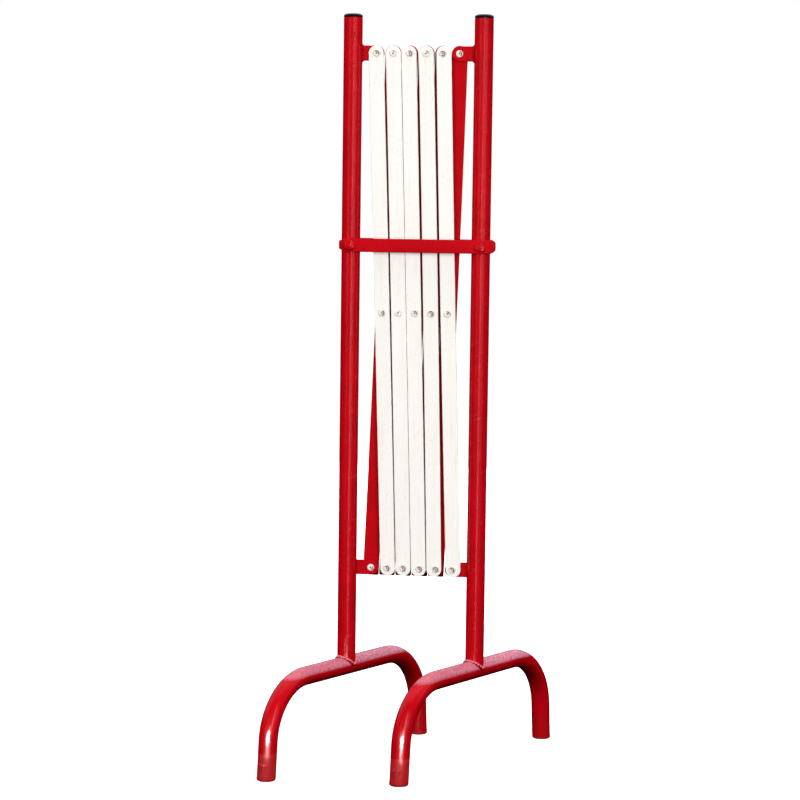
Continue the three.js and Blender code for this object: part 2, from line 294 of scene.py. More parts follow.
def cut_away(mesh, tools):
    """The mesh less some closed tool meshes."""
    scene = bpy.context.scene
    body = bpy.data.objects.new("cut_body", mesh)
    scene.collection.objects.link(body)
    for tool_mesh in tools:
        tool = bpy.data.objects.new("cut_tool", tool_mesh)
        scene.collection.objects.link(tool)
        boolean = body.modifiers.new("cut", "BOOLEAN")
        boolean.operation = "DIFFERENCE"
        boolean.solver = "EXACT"
        boolean.object = tool
    graph = bpy.context.evaluated_depsgraph_get()
    result = bpy.data.meshes.new_from_object(body.evaluated_get(graph))
    for used in [m.object for m in body.modifiers] + [body]:
        bpy.data.objects.remove(used)
    for polygon in result.polygons:
        polygon.use_smooth = True
    result.set_sharp_from_angle(angle=math.radians(SMOOTH_ANGLE))
    result.materials.clear()
    return result


# ---------------------------------------------------------------- material building
def add_node(tree, kind, inputs=None, **settings):
    node = tree.nodes.new(f"ShaderNode{kind}")
    for key, value in settings.items():
        setattr(node, key, value)
    for key, value in (inputs or {}).items():
        if isinstance(value, bpy.types.NodeSocket):
            tree.links.new(value, node.inputs[key])
        else:
            node.inputs[key].default_value = value
    return node


def noise(tree, vector, scale, detail, roughness=0.5):
    inputs = {"Vector": vector, "Scale": scale, "Detail": detail, "Roughness": roughness}
    return add_node(tree, "TexNoise", inputs).outputs["Fac"]


def remap(tree, value, low, high, to_low=0.0, to_high=1.0):
    inputs = {"Value": value, "From Min": low, "From Max": high, "To Min": to_low, "To Max": to_high}
    return add_node(tree, "MapRange", inputs, clamp=True).outputs["Result"]


def combine(tree, operation, a, b):
    return add_node(tree, "Math", {0: a, 1: b}, operation=operation).outputs["Value"]


def multiply(tree, first, *others):
    product = first
    for other in others:
        product = combine(tree, "MULTIPLY", product, other)
    return product


def add(tree, first, *others):
    total = first
    for other in others:
        total = combine(tree, "ADD", total, other)
    return total


def split(tree, vector):
    """The X, Y and Z of a vector, by name."""
    return add_node(tree, "SeparateXYZ", {"Vector": vector}).outputs


def blend_colours(tree, factor, a, b):
    return add_node(tree, "Mix", {0: factor, 6: a, 7: b}, data_type="RGBA").outputs[2]


def darker(colour, share):
    return (*[share * c for c in colour], 1)


def stretched(tree, vector, scale):
    return add_node(tree, "Mapping", {"Vector": vector, "Scale": scale}).outputs["Vector"]


def new_material(name, **constants):
    """A material and its Principled shader, with the values that are the same all over it."""
    material = bpy.data.materials.new(name)
    material.use_nodes = True
    tree = material.node_tree
    shader = tree.nodes["Principled BSDF"]
    for key, value in constants.items():
        shader.inputs[key.replace("_", " ")].default_value = value
    place_in_object = tree.nodes.new("ShaderNodeTexCoord").outputs["Object"]
    return material, tree, shader, place_in_object


def bump(tree, shader, height, distance, strength):
    node = add_node(tree, "Bump", {"Height": height, "Distance": distance, "Strength": strength})
    tree.links.new(node.outputs["Normal"], shader.inputs["Normal"])


def sprayed_red(name, deep, bright, pale_overlay, specular, roughness, reaches_floor=False, shaded_below=0.0):
    """Gloss red paint sprayed on steel: orange peel, an uneven film, painted shade on undersides, and
    fine specks. On the feet it is glossier, and its upward faces carry a pale pink film that is part
    settled dust and part painted reflection. Paint that reaches the floor is dull and scuffed on the
    front legs' ends. If a lower end's height is given, painted shade darkens the paint there and fades
    out upward."""
    material, tree, shader, where = new_material(name, Specular_IOR_Level=specular)
    place_in_object = split(tree, where)
    height = place_in_object["Z"]
    cloud = noise(tree, where, 28, 4)
    film = blend_colours(tree, remap(tree, cloud, 0.35, 0.68), (*deep, 1), (*bright, 1))
    mottle = remap(tree, noise(tree, where, 420, 2), 0.3, 0.75, 0.0, 0.22)
    film = blend_colours(tree, mottle, film, darker(deep, 0.6))

    facing = split(tree, add_node(tree, "TexCoord").outputs["Normal"])
    # Dust and painted reflection: upward faces on the feet get a pale pink film, stronger towards the
    # back.
    upward = remap(tree, facing["Z"], 0.05, 0.30)
    foot_top = FOOT_AXIS_Z + TUBE_RADIUS
    above_axis = remap(tree, height, FOOT_AXIS_Z, FOOT_AXIS_Z + DUST_AND_SHEEN_FADE)
    under_top = remap(tree, height, foot_top + 2 * DUST_AND_SHEEN_END, foot_top + DUST_AND_SHEEN_END)
    dust_and_sheen_patches = remap(tree, noise(tree, where, 420, 5, 0.75), 0.36, 0.62, 0.25, 1.0)
    behind = remap(tree, place_in_object["Y"], -120 * MM, 60 * MM, 0.6, 1.0)
    dust_and_sheen = multiply(tree, upward, above_axis, under_top, behind, dust_and_sheen_patches, pale_overlay)
    film = blend_colours(tree, dust_and_sheen, film, (0.95, 0.56, 0.74, 1))

    # Painted shade: faces that turn downward are darkened towards a near-black red.
    underside_shade = remap(tree, facing["Z"], -0.20, -0.75, 0.0, 0.8)
    film = blend_colours(tree, underside_shade, film, darker(deep, 0.12))

    gloss = remap(tree, height, foot_top + 10 * MM, foot_top, roughness, FOOT_ROUGHNESS)
    gloss = add(tree, gloss, remap(tree, noise(tree, where, 75, 4), 0.3, 0.7, -0.03, 0.05))
    gloss = add(tree, gloss, multiply(tree, dust_and_sheen, 0.2))
    if reaches_floor:
        near_floor = remap(tree, height, LEG_DULL_HEIGHT + LEG_DULL_FADE, LEG_DULL_HEIGHT)
        in_front = remap(tree, place_in_object["Y"], 50 * MM, -50 * MM, 0.15, 1.0)
        dulled = multiply(tree, near_floor, in_front)
        film = blend_colours(tree, dulled, film, (0.45, 0.009, 0.013, 1))
        scuffs = remap(tree, noise(tree, stretched(tree, where, (1, 1, 0.45)), 190, 5, 0.7), 0.48, 0.62)
        scuffs = multiply(tree, dulled, scuffs, 0.45)
        film = blend_colours(tree, scuffs, film, (0.30, 0.050, 0.028, 1))
        gloss = add(tree, gloss, multiply(tree, dulled, 0.4))
        tree.links.new(remap(tree, dulled, 0, 1, specular, 0.12 * specular),
                       shader.inputs["Specular IOR Level"])
    tree.links.new(gloss, shader.inputs["Roughness"])

    if shaded_below > 0:
        # Painted shade: the lower end is darkened towards a near-black red, fading out upward.
        lower_shade = remap(tree, height, shaded_below + LOWER_SHADE_HEIGHT + LOWER_SHADE_FADE,
                      shaded_below + LOWER_SHADE_HEIGHT, 0.0, 0.85)
        film = blend_colours(tree, lower_shade, film, darker(deep, 0.10))

    specks = remap(tree, noise(tree, where, 900, 1), 0.80, 0.86)
    sparse = remap(tree, noise(tree, where, 60, 2), 0.52, 0.66)
    specks = multiply(tree, specks, sparse)
    film = blend_colours(tree, multiply(tree, specks, 0.6), film, (0.10, 0.006, 0.008, 1))
    tree.links.new(film, shader.inputs["Base Color"])

    peel = add(tree, noise(tree, where, 330, 2), multiply(tree, specks, -1.5))
    bump(tree, shader, peel, 0.12 * MM, 0.25)
    return material


def brushed_white(name, slat_length):
    """Off-white paint on flat bar: faint brown specks and streaks, brown side edges that are part wear
    and part painted shade, and a broken dark brown ring round each of the three rivets."""
    material, tree, shader, where = new_material(name, Coat_Weight=0.25, Coat_Roughness=0.15)
    tone = remap(tree, noise(tree, stretched(tree, where, (1, 1, 0.12)), 60, 4), 0.32, 0.70)
    film = blend_colours(tree, tone, (0.93, 0.90, 0.84, 1), (0.97, 0.95, 0.915, 1))
    streaks = remap(tree, noise(tree, stretched(tree, where, (1, 1, 0.035)), 420, 4, 0.65), 0.56, 0.72)
    film = blend_colours(tree, multiply(tree, streaks, 0.30), film, (0.74, 0.62, 0.47, 1))
    specks = remap(tree, noise(tree, stretched(tree, where, (1, 1, 0.6)), 620, 2), 0.63, 0.71)
    patches = remap(tree, noise(tree, where, 22, 3), 0.44, 0.62, 0.15, 1.0)
    specks = multiply(tree, specks, patches)
    film = blend_colours(tree, multiply(tree, specks, 0.45), film, (0.62, 0.44, 0.26, 1))
    facing = split(tree, add_node(tree, "TexCoord").outputs["Normal"])
    # Painted shade and wear: side faces are darkened towards brown in noisy patches.
    side_shade = remap(tree, combine(tree, "ABSOLUTE", facing["X"], 0.0), 0.45, 0.85, 0.0, 0.85)
    worn = remap(tree, noise(tree, where, 35, 3), 0.38, 0.60, 0.2, 1.0)
    film = blend_colours(tree, multiply(tree, side_shade, worn), film, (0.34, 0.25, 0.19, 1))

    on_slat = add_node(tree, "UVMap", uv_map="flat").outputs["UV"]
    nearest = None
    for share in (0, 0.5, 1):
        hole = (0, -share * slat_length, 0)
        away = add_node(tree, "VectorMath", {0: on_slat, 1: hole}, operation="DISTANCE")
        reach = away.outputs["Value"]
        nearest = reach if nearest is None else combine(tree, "MINIMUM", nearest, reach)
    # A broken dark brown ring just outside each rivet head.
    ring = remap(tree, nearest, RIVET_HEAD_RADIUS + 0.8 * MM, RIVET_HEAD_RADIUS + 0.1 * MM)
    ring = multiply(tree, ring, remap(tree, noise(tree, where, 190, 2), 0.46, 0.62, 0.0, 0.5))
    film = blend_colours(tree, ring, film, (0.30, 0.15, 0.10, 1))
    tree.links.new(film, shader.inputs["Base Color"])
    gloss = remap(tree, noise(tree, where, 90, 3), 0.3, 0.7, 0.34, 0.5)
    tree.links.new(add(tree, gloss, multiply(tree, ring, 0.2)), shader.inputs["Roughness"])
    bump(tree, shader, noise(tree, where, 380, 2), 0.10 * MM, 0.45)
    return material


def dull_zinc(name, light, dark, crescent_from, crescent_to):
    """Zinc-plated steel: fine crystalline mottling, and a dark crescent, part rust and part painted
    shade, on one side of the ring between two radii round the middle."""
    material, tree, shader, where = new_material(name, Metallic=0.1)
    grain = remap(tree, noise(tree, where, 900, 4, 0.6), 0.3, 0.7)
    plate_colour = blend_colours(tree, grain, (*dark, 1), (*light, 1))
    on_face = add_node(tree, "UVMap", uv_map="flat").outputs["UV"]
    reach = add_node(tree, "VectorMath", {0: on_face}, operation="LENGTH").outputs["Value"]
    outside = remap(tree, reach, crescent_to, crescent_to + 0.5 * MM, 1.0, 0.0)
    inside = remap(tree, reach, crescent_from - 0.4 * MM, crescent_from)
    band = multiply(tree, inside, outside)
    # Rust and painted shade: the band darkens on the same side of every head.
    lean = add_node(tree, "VectorMath", {0: on_face, 1: (0.8, 0.6, 0)}, operation="DOT_PRODUCT")
    wander = remap(tree, noise(tree, where, 70, 1), 0.3, 0.7, -3.5 * MM, 3.5 * MM)
    side_of_head = add(tree, lean.outputs["Value"], wander)
    rust_and_shade = multiply(tree, band, remap(tree, side_of_head, 0, 1.2 * MM, 0.0, 0.9))
    plate_colour = blend_colours(tree, rust_and_shade, plate_colour, (0.17, 0.055, 0.040, 1))
    tree.links.new(plate_colour, shader.inputs["Base Color"])
    tree.links.new(remap(tree, grain, 0, 1, 0.34, 0.52), shader.inputs["Roughness"])
    bump(tree, shader, noise(tree, where, 1100, 3), 0.05 * MM, 0.5)
    return material


def moulded_plastic(name, deep, bright, specular, rough_low, rough_high):
    """Moulded plastic with a fine grain, handling marks and a little dust."""
    material, tree, shader, where = new_material(name, Specular_IOR_Level=specular)
    tone = remap(tree, noise(tree, where, 120, 4), 0.35, 0.68)
    colour = blend_colours(tree, tone, (*deep, 1), (*bright, 1))
    scratches = remap(tree, noise(tree, stretched(tree, where, (1, 0.2, 1)), 700, 3, 0.7), 0.62, 0.74)
    pale_overlay = [min(1, 3.0 * c + 0.02) for c in bright]
    colour = blend_colours(tree, multiply(tree, scratches, 0.35), colour, (*pale_overlay, 1))
    tree.links.new(colour, shader.inputs["Base Color"])
    tree.links.new(remap(tree, tone, 0, 1, rough_low, rough_high), shader.inputs["Roughness"])
    bump(tree, shader, noise(tree, where, 1500, 2), 0.04 * MM, 0.5)
    return material


top_pivots = [box_centre(f"upper_rivet_{i + 1}") for i in range(CROSSINGS + 1)]
low_pivots = [box_centre(f"lower_rivet_{i + 1}") for i in range(CROSSINGS + 1)]
SLAT_LENGTH = math.hypot(top_pivots[0].z - low_pivots[1].z, low_pivots[1].x - top_pivots[0].x)

frame_reds = ((0.47, 0.0006, 0.0045), (0.58, 0.0010, 0.0070))
slat_reds = ((0.46, 0.0006, 0.0040), (0.56, 0.0010, 0.0065))
red_paint = sprayed_red("red_frame_paint", *frame_reds, 0.62, 0.3, 0.24, reaches_floor=True)
red_plate_paint = sprayed_red("red_plate_paint", *frame_reds, 0.15, 0.10, 0.45)
slat_foot = low_pivots[0].z - SLAT_WIDTH / 2
red_slat_paint = sprayed_red("red_slat_paint", *slat_reds, 0.05, 0.08, 0.5, shaded_below=slat_foot)
white_paint = brushed_white("white_slat_paint", SLAT_LENGTH)
rivet_zinc = dull_zinc("rivet_zinc", (0.97, 0.94, 0.88), (0.90, 0.85, 0.76), 2.3 * MM, 3.6 * MM)
spacer_zinc = dull_zinc("spacer_zinc", (0.74, 0.73, 0.70), (0.50, 0.49, 0.47), 2.7 * MM, 4.4 * MM)
cap_blacks = ((0.002, 0.002, 0.002), (0.006, 0.006, 0.006))
plug_reds = ((0.36, 0.007, 0.010), (0.45, 0.012, 0.015))
nylon_whites = ((0.62, 0.60, 0.54), (0.74, 0.72, 0.66))
black_plastic = moulded_plastic("black_cap_plastic", *cap_blacks, 0.6, 0.22, 0.30)
red_plastic = moulded_plastic("red_plug_plastic", *plug_reds, 0.08, 0.5, 0.65)
nylon = moulded_plastic("slider_nylon", *nylon_whites, 0.3, 0.45, 0.6)


# ---------------------------------------------------------------- posts and feet
def footprint_height(x, y, radius):
    """Height of the foot tube's top skin over a point beside the post axis."""
    across = abs(Vector((x, y, 0)).dot(FOOT_ACROSS))
    return FOOT_AXIS_Z + math.sqrt(max(0.0, radius**2 - across**2))


def post_tube(side, facing):
    """The upright tube: coped over the foot at its lower end, and slotted for the sliding ear."""
    centre = Vector((POST_X[side], 0, 0))
    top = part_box(f"{side}_post")[1].z - CAP_SKIRT
    sides = 72
    chamfer = 0.3 * MM

    def ring(radius, height=None):
        points = []
        for i in range(sides):
            a = TAU * i / sides
            x, y = radius * math.cos(a), radius * math.sin(a)
            z = footprint_height(x, y, TUBE_RADIUS + FIT) if height is None else height
            points.append(centre + Vector((x, y, z)))
        return points

    rings = [ring(TUBE_RADIUS), ring(TUBE_RADIUS, top - chamfer), ring(TUBE_RADIUS - chamfer, top),
             ring(BORE_RADIUS + chamfer, top), ring(BORE_RADIUS, top - chamfer), ring(BORE_RADIUS)]
    tube = finish_mesh(f"{side}_post.fine", *skin(rings, closed=True))
    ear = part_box(f"{side}_lower_ear")
    margin = 2 * MM
    low = ear[0].z - margin + SLOT_WIDTH / 2
    high = ear[1].z + margin + SLIDE_TRAVEL - SLOT_WIDTH / 2
    outline = arc(0, high, SLOT_WIDTH / 2, 0, 180, 10) + arc(0, low, SLOT_WIDTH / 2, 180, 360, 10)
    near, far = facing * TUBE_RADIUS / 2, facing * 2 * TUBE_RADIUS
    slot_rings = [[centre + Vector((x, y, z)) for y, z in outline] for x in (near, far)]
    slot_tool = finish_mesh("slot_tool", *skin(slot_rings))
    return cut_away(tube, [slot_tool])


def foot_stations():
    """Centre points, tangents and bend share along a foot, in its own plane (along, up)."""
    arc_end_z = FOOT_AXIS_Z - FOOT_BEND_RADIUS * (1 - math.cos(FOOT_BEND_ANGLE))
    arc_reach = FOOT_BEND_RADIUS * math.sin(FOOT_BEND_ANGLE)
    arc_start = FOOT_HALF_LENGTH - arc_end_z / math.tan(FOOT_BEND_ANGLE) - arc_reach
    half = []
    flat_steps, bend_steps, leg_steps = 10, 28, 8
    for i in range(flat_steps):
        half.append((arc_start * i / flat_steps, FOOT_AXIS_Z, 0.0, 0.0))
    for i in range(bend_steps):
        share = i / bend_steps
        a = FOOT_BEND_ANGLE * share
        half.append((arc_start + FOOT_BEND_RADIUS * math.sin(a),
                     FOOT_AXIS_Z - FOOT_BEND_RADIUS * (1 - math.cos(a)), a,
                     math.sin(math.pi / 2 * min(1, 2 * share))))
    end_z = PLUG_RIM_HEIGHT + FIT
    for i in range(leg_steps + 1):
        z = arc_end_z + (end_z - arc_end_z) * i / leg_steps
        along = FOOT_HALF_LENGTH - z / math.tan(FOOT_BEND_ANGLE)
        half.append((along, z, FOOT_BEND_ANGLE, 1 - 0.5 * i / leg_steps))
    mirrored = [(-along, z, -a, oval) for along, z, a, oval in reversed(half[1:])]
    return mirrored + half


def foot_ring(centre, station, radius, sides, level=None):
    """One ring of the foot tube. The bend widens the tube a little across its plane and flattens it
    within the plane. level, if given, is the height that the ring is cut off at."""
    along, z, angle, oval = station
    outward = Vector((0, 0, 1)) * math.cos(angle) + FOOT_DIRECTION * math.sin(angle)
    tangent = FOOT_DIRECTION * math.cos(angle) - Vector((0, 0, 1)) * math.sin(angle)
    middle = centre + FOOT_DIRECTION * along + Vector((0, 0, z))
    wide = radius * (1 + 0.045 * oval)
    flat = radius * (1 - 0.035 * oval)
    points = []
    for i in range(sides):
        a = TAU * i / sides
        point = middle + FOOT_ACROSS * (wide * math.cos(a)) + outward * (flat * math.sin(a))
        if level is not None:
            point += tangent * ((level - point.z) / tangent.z)
        points.append(point)
    return points


def foot_tube(side):
    centre = Vector((POST_X[side], 0, 0))
    stations = foot_stations()
    sides = 48
    last = len(stations) - 1
    outer = []
    inner = []
    for i, station in enumerate(stations):
        level = station[1] if i in (0, last) else None
        outer.append(foot_ring(centre, station, TUBE_RADIUS, sides, level))
        inner.append(foot_ring(centre, station, BORE_RADIUS, sides, level))
    return finish_mesh(f"{side}_foot.fine", *skin(outer + inner[::-1], closed=True))


def leg_plug(side, end):
    """Plug of a leg: a round-cornered rim that stands on the floor, and a ribbed shaft."""
    lean = end * (math.pi / 2 - FOOT_BEND_ANGLE)
    foot = Vector((POST_X[side], 0, 0)) + FOOT_DIRECTION * (end * FOOT_HALF_LENGTH)
    rim = PLUG_RIM_HEIGHT
    corner = 2.6 * MM
    shaft = BORE_RADIUS - 0.5 * MM
    wide = 1.022 * TUBE_RADIUS
    profile = [(0, 0.0), (wide - corner, 0.0)]
    profile += [(wide - corner + r, corner + z) for r, z in arc(0, 0, corner, -72, 0, 6)]
    profile += [(wide, rim - 0.3 * MM), (wide - 0.3 * MM, rim), (shaft, rim)]
    for i in range(4):
        z = rim + (2 + 4.5 * i) * MM
        profile += [(shaft, z), (shaft + 0.3 * MM, z + 0.6 * MM), (shaft, z + 2.4 * MM)]
    profile += [(shaft - 1.5 * MM, rim + 20 * MM), (0, rim + 20 * MM)]
    verts, faces = turned(profile, (0, 0, 0), sides=48)
    turn = Matrix.Rotation(-lean, 3, FOOT_ACROSS)
    shaped = []
    for v in verts:
        tilted = turn @ v
        shaped.append(foot + Vector((tilted.x, tilted.y, v.z)))
    return finish_mesh(f"{side}_plug.fine", shaped, faces)


def post_cap(side):
    """Black cap: a short straight skirt under a shallow dome, with a ribbed shaft in the bore."""
    low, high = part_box(f"{side}_cap")
    rim_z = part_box(f"{side}_post")[1].z + FIT - CAP_SKIRT
    dome_z = rim_z + CAP_SKIRT
    shaft = BORE_RADIUS - 0.4 * MM
    profile = [(0, low.z), (shaft - 1 * MM, low.z), (shaft, low.z + 1.5 * MM)]
    for i in range(3):
        z = low.z + (3 + 3.4 * i) * MM
        profile += [(shaft, z), (shaft + 0.3 * MM, z + 0.5 * MM), (shaft, z + 2 * MM)]
    profile += [(shaft, rim_z), (TUBE_RADIUS - 0.3 * MM, rim_z), (TUBE_RADIUS, rim_z + 0.3 * MM)]
    for i in range(13):
        a = math.pi / 2 * i / 12
        profile.append((TUBE_RADIUS * math.cos(a) ** 0.42,
                        dome_z + (high.z - dome_z) * math.sin(a) ** 1.25))
    profile[-1] = (0, high.z)
    return finish_mesh(f"{side}_cap.fine", *turned(profile, (POST_X[side], 0, 0), sides=56))


# ---------------------------------------------------------------- weld beads
def bead(path, radius, ripple, ripples, closed=False):
    """A weld bead along points: a round run whose thickness ripples as the puddle was laid."""
    sides = 12
    rings = []
    count = len(path)
    for i, point in enumerate(path):
        if closed:
            tangent = (path[(i + 1) % count] - path[i - 1]).normalized()
        else:
            tangent = (path[min(i + 1, count - 1)] - path[max(i - 1, 0)]).normalized()
        side = tangent.cross(Vector((0.03, 0.05, 1)))
        if side.length < 0.2:
            side = tangent.cross(Vector((1, 0.1, 0)))
        side.normalize()
        up = side.cross(tangent)
        share = i / count
        size = radius * (1 + ripple * abs(math.sin(math.pi * ripples * share)) - ripple / 2)
        if not closed:
            size *= max(0.25, 1 - abs(2 * i / (count - 1) - 1) ** 6) ** 0.5
        rings.append([point + side * (size * math.cos(TAU * k / sides))
                      + up * (size * math.sin(TAU * k / sides)) for k in range(sides)])
    return skin(rings, closed=closed)


def foot_weld(side):
    """The bead where the post's coped end sits on the foot."""
    centre = Vector((POST_X[side], 0, 0))
    steps = 216
    path = []
    for i in range(steps):
        a = TAU * i / steps
        out = Vector((math.cos(a), math.sin(a), 0))
        lie = out.dot(FOOT_DIRECTION)
        height = FOOT_AXIS_Z + TUBE_RADIUS * math.sqrt(lie**2 + 0.05) + 0.3 * MM
        wander = 0.25 * MM * math.sin(5 * a + 1.3) + 0.15 * MM * math.sin(11 * a)
        path.append(centre + out * (TUBE_RADIUS + 0.9 * MM) + Vector((0, 0, height + wander)))
    verts, faces = bead(path, 2.1 * MM, 0.34, 26, closed=True)
    return finish_mesh(f"{side}_foot_weld", verts, faces, smooth_angle=60)


def ear_weld(side, facing, face):
    """A short bead down one face of an upper ear, where it meets the post."""
    ear = box_centre(f"{side}_upper_ear")
    half = EAR_HEIGHT / 2 + 0.8 * MM
    x = POST_X[side] + facing * (TUBE_RADIUS + 0.5 * MM)
    steps = 40
    path = []
    for i in range(steps + 1):
        z = ear.z - half + 2 * half * i / steps
        path.append(Vector((x + 0.2 * MM * math.sin(i * 0.9), face * 2.0 * MM, z)))
    verts, faces = bead(path, 1.5 * MM, 0.4, 7)
    return finish_mesh(f"{side}_ear_weld", verts, faces, smooth_angle=60)


# ---------------------------------------------------------------- ears, slats and rivets
def ear_plate(node, side, facing, rooted):
    """An ear with its round pivot end. A welded ear flares a little into the post."""
    low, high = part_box(node)
    centre_z = (low.z + high.z) / 2
    half = (high.z - low.z) / 2
    reach = abs((high.x if facing > 0 else low.x) - POST_X[side]) - half
    start = abs((low.x if facing > 0 else high.x) - POST_X[side])
    flare = 3.2 * MM
    if rooted:
        lower = [(x, -y) for x, y in reversed(arc(start + flare, half + flare, flare, 270, 190, 6))]
        upper = [(x, y) for x, y in arc(start + flare, half + flare, flare, 270, 190, 6)]
    else:
        lower = [(start, -half)]
        upper = [(start, half)]
    outline = lower + arc(reach, 0, half, -90, 90, 24) + upper
    hole = arc(reach, 0, HOLE_RADIUS, 360, 0, 24)[:-1]
    axis_x, axis_y = POST_X[side], (low.y + high.y) / 2

    def to_world(along, up, out):
        return Vector((axis_x + facing * along, axis_y + out, centre_z + up))

    verts, faces, _ = plate([outline, hole], high.y - low.y, 0.5 * MM, to_world)
    return finish_mesh(f"{node}.fine", verts, faces)


def bow_offset(bow, share):
    """Sideways offset of a bent slat at a share of its length, through the three given offsets."""
    upper, middle, lower = bow
    return (upper * (2 * share - 1) * (share - 1) + middle * 4 * share * (1 - share)
            + lower * share * (2 * share - 1))


def slat(node, upper, lower, bow, width, square_below):
    """Flat bar from an upper to a lower pivot, bent sideways by its bow, with three rivet holes on the
    straight line between them. Its upper end is round, and its lower end is round or nearly square."""
    low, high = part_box(node)
    down = Vector((lower.x - upper.x, 0, lower.z - upper.z))
    length = down.length
    down.normalize()
    across = Vector((-down.z, 0, down.x))
    mid_y = (low.y + high.y) / 2
    half = width / 2
    sides = 12
    left = [(-half, -length * i / sides) for i in range(1, sides)]
    right = [(half, -length * i / sides) for i in range(sides - 1, 0, -1)]
    if square_below:
        corner = BACK_CORNER_RADIUS
        reach = half - corner
        below = arc(-reach, -length - reach, corner, 180, 270, 5)
        below += arc(reach, -length - reach, corner, 270, 360, 5)
    else:
        below = arc(0, -length, half, 180, 360, 28)
    straight = arc(0, 0, half, 0, 180, 28) + left + below + right
    outline = [(x + bow_offset(bow, -y / length), y) for x, y in straight]
    holes = [arc(0, -share * length, HOLE_RADIUS, 360, 0, 24)[:-1] for share in (0, 0.5, 1)]

    def to_world(along, up, out):
        return Vector((upper.x, mid_y + out, upper.z)) + across * along - down * up

    verts, faces, flat = plate([outline, *holes], high.y - low.y, 0.55 * MM, to_world)
    mesh = finish_mesh(f"{node}.fine", verts, faces)
    add_flat_map(mesh, flat)
    return mesh


def blind_rivet(node):
    """Blind rivet: a domed head with its open mandrel bore, a shank and an upset tail."""
    low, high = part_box(node)
    centre = (low + high) / 2
    face = low.y + RIVET_HEAD_HEIGHT
    tail = high.y - RIVET_TAIL_HEIGHT
    bore = 1.35 * MM
    bore_end = low.y + 5 * MM
    head = []
    for i in range(10):
        a = math.pi / 2 * i / 9
        head.append((bore + 0.35 * MM + (RIVET_HEAD_RADIUS - bore - 0.35 * MM) * math.sin(a) ** 0.9,
                     face - 0.35 * MM - (RIVET_HEAD_HEIGHT - 0.35 * MM) * math.cos(a) ** 1.15))
    profile = [(0, bore_end - 0.2 * MM), (0.7 * bore, bore_end - 0.3 * MM), (bore, bore_end),
               (bore, low.y + 0.25 * MM)]
    profile += head
    profile += [(RIVET_HEAD_RADIUS - 0.1 * MM, face), (RIVET_RADIUS, face), (RIVET_RADIUS, tail)]
    for i in range(9):
        a = math.pi * i / 8
        bulge = 0.5 - 0.5 * math.cos(2 * a)
        profile.append((RIVET_RADIUS + (RIVET_TAIL_RADIUS - RIVET_RADIUS) * (0.35 + 0.65 * bulge) ** 0.6
                        if 0 < i < 8 else RIVET_RADIUS, tail + 0.72 * RIVET_TAIL_HEIGHT * i / 8))
    profile += [(1.5 * MM, tail + 0.76 * RIVET_TAIL_HEIGHT), (1.5 * MM, high.y - 0.25 * MM),
                (1.2 * MM, high.y), (0, high.y)]
    verts, faces = turned(profile, (centre.x, 0, centre.z), axis="Y", sides=36)
    mesh = finish_mesh(f"{node}.fine", verts, faces, smooth_angle=50)
    add_flat_map(mesh, [(v.x - centre.x, v.z - centre.z) for v in verts])
    return mesh


def spacer_washer(node):
    low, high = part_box(node)
    centre = (low + high) / 2
    radius = (high.x - low.x) / 2
    edge = 0.4 * MM
    profile = [
        (HOLE_RADIUS, low.y + edge / 2), (HOLE_RADIUS + edge / 2, low.y), (radius - edge, low.y),
        (radius - 0.3 * edge, low.y + 0.3 * edge), (radius, low.y + edge), (radius, high.y - edge),
        (radius - 0.3 * edge, high.y - 0.3 * edge), (radius - edge, high.y),
        (HOLE_RADIUS + edge / 2, high.y), (HOLE_RADIUS, high.y - edge / 2),
        (HOLE_RADIUS, low.y + edge / 2),
    ]
    verts, faces = turned(profile, (centre.x, 0, centre.z), axis="Y", sides=36)
    mesh = finish_mesh(f"{node}.fine", verts, faces)
    add_flat_map(mesh, [(v.x - centre.x, v.z - centre.z) for v in verts])
    return mesh


def slider_block(side, facing):
    """Nylon slider in the bore, chamfered at both ends and slit for the ear's tongue."""
    low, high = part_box(f"{side}_slider")
    radius = (high.y - low.y) / 2
    chamfer = 1.2 * MM
    profile = [(0, low.z), (radius - chamfer, low.z), (radius, low.z + chamfer),
               (radius, high.z - chamfer), (radius - chamfer, high.z), (0, high.z)]
    block = finish_mesh(f"{side}_slider.fine", *turned(profile, (POST_X[side], 0, 0), sides=48))
    ear_low, ear_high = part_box(f"{side}_lower_ear")
    tongue_x = (ear_low.x if facing > 0 else ear_high.x) - facing * FIT
    far_x = POST_X[side] + facing * 2 * TUBE_RADIUS
    half = (ear_high.y - ear_low.y) / 2 + FIT
    outline = [(-half, low.z - chamfer), (half, low.z - chamfer), (half, high.z + chamfer),
               (-half, high.z + chamfer)]
    rings = [[Vector((x, y, z)) for y, z in outline] for x in (tongue_x, far_x)]
    return cut_away(block, [finish_mesh("slit_tool", *skin(rings))])


